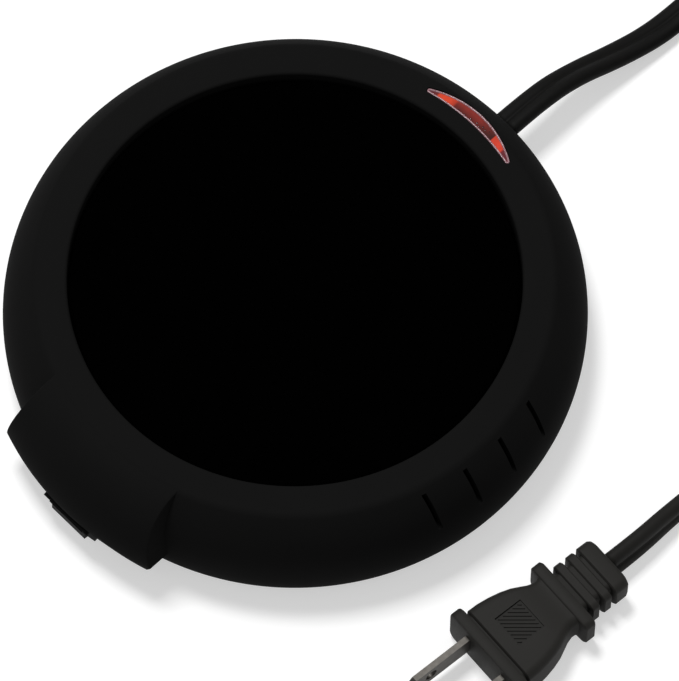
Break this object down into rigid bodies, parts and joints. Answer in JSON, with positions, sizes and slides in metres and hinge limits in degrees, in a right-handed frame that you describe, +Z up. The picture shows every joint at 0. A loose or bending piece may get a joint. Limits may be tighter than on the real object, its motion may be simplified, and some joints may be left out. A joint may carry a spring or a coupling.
{
  "type": "electric mug warmer",
  "caption": "Round desk mug warmer with a recessed black warming plate, a front rocker switch pod, a crescent indicator lens and a flat cord with plug.",
  "frame": {"origin": "on the table under the centre of the housing", "axes": "+Z up through the warming plate, -Y towards the switch pod, +Y towards the cord exit"},
  "size_m": [0.1789, 0.2874, 0.031],
  "materials": {
    "housing_plastic": "fine satin grain",
    "base_plastic": "satin",
    "plate_enamel": "matte black coating on steel",
    "lens_red": "clear red, polished",
    "lamp_glass": "clear",
    "sleeve_dark": "matte sleeving",
    "steel": "zinc plated",
    "galvanised_sheet": "galvanised sheet",
    "resistance_alloy": "rolled alloy ribbon",
    "mica": "mica sheet",
    "insulation": "glass-fibre felt",
    "silicone": "silicone rubber",
    "rubber": "matte",
    "glass_sleeving": "woven glass sleeving",
    "contact_brass": "bare",
    "blade_metal": "nickel plated",
    "switch_plastic": "semi-gloss",
    "resistor_body": "lacquer",
    "crimp_plastic": "nylon",
    "wire_black": "smooth",
    "wire_white": "smooth",
    "cord_vinyl": "soft vinyl",
    "plug_vinyl": "soft vinyl"
  },
  "bodies": {
    "housing": {"top_cover": "housing_plastic", "base_cover": "base_plastic", "case_screws": "steel", "rubber_foot_1": "rubber", "rubber_foot_2": "rubber", "rubber_foot_3": "rubber", "rubber_foot_4": "rubber", "warming_plate": "plate_enamel", "plate_gasket": "silicone", "mica_upper": "mica", "heater_ribbon": "resistance_alloy", "mica_lower": "mica", "insulation_pad": "insulation", "pressure_plate": "galvanised_sheet", "clamp_washer": "steel", "clamp_nut": "steel", "thermal_fuse": "steel", "fuse_sleeve": "glass_sleeving", "fuse_clip": "galvanised_sheet", "indicator_lens": "lens_red", "neon_lamp": "lamp_glass", "lamp_sleeve": "sleeve_dark", "lamp_bracket": "base_plastic", "lamp_resistor": "resistor_body", "lamp_leads": "wire_white", "switch_housing": "switch_plastic", "switch_terminal_1": "contact_brass", "switch_terminal_2": "contact_brass", "cord_clamp": "base_plastic", "clamp_screws": "steel", "crimp_connectors": "crimp_plastic", "wire_live": "wire_black", "wire_neutral": "wire_white", "wire_switched": "wire_black", "wire_fuse": "wire_black", "wire_heater": "wire_white", "wire_return": "wire_white", "cord_inner": "cord_vinyl", "power_cord_outlet": "cord_vinyl", "power_cord_turn": "cord_vinyl", "cord_coil": "cord_vinyl", "power_cord_plug_end": "cord_vinyl", "plug_body": "plug_vinyl", "plug_blade_1": "blade_metal", "plug_blade_2": "blade_metal"},
    "rocker": {"switch_rocker": "switch_plastic", "switch_plunger": "contact_brass", "switch_spring": "steel"},
    "contact_lever": {"switch_contact_lever": "contact_brass"}
  },
  "joints": [
    {"name": "rocker_hinge", "type": "hinge", "parent": "housing", "child": "rocker", "pos_m": [0, -0.07379, 0.00699], "axis": [1, 0, 0], "range_deg": [0, 20]},
    {"name": "lever_hinge", "type": "hinge", "parent": "housing", "child": "contact_lever", "pos_m": [0, -0.0698, 0.00829], "axis": [1, 0, 0], "range_deg": [-12, 0]}
  ],
  "couplings": [
    {"joint": "lever_hinge", "follows": "rocker_hinge", "ratio": -0.6}
  ]
}
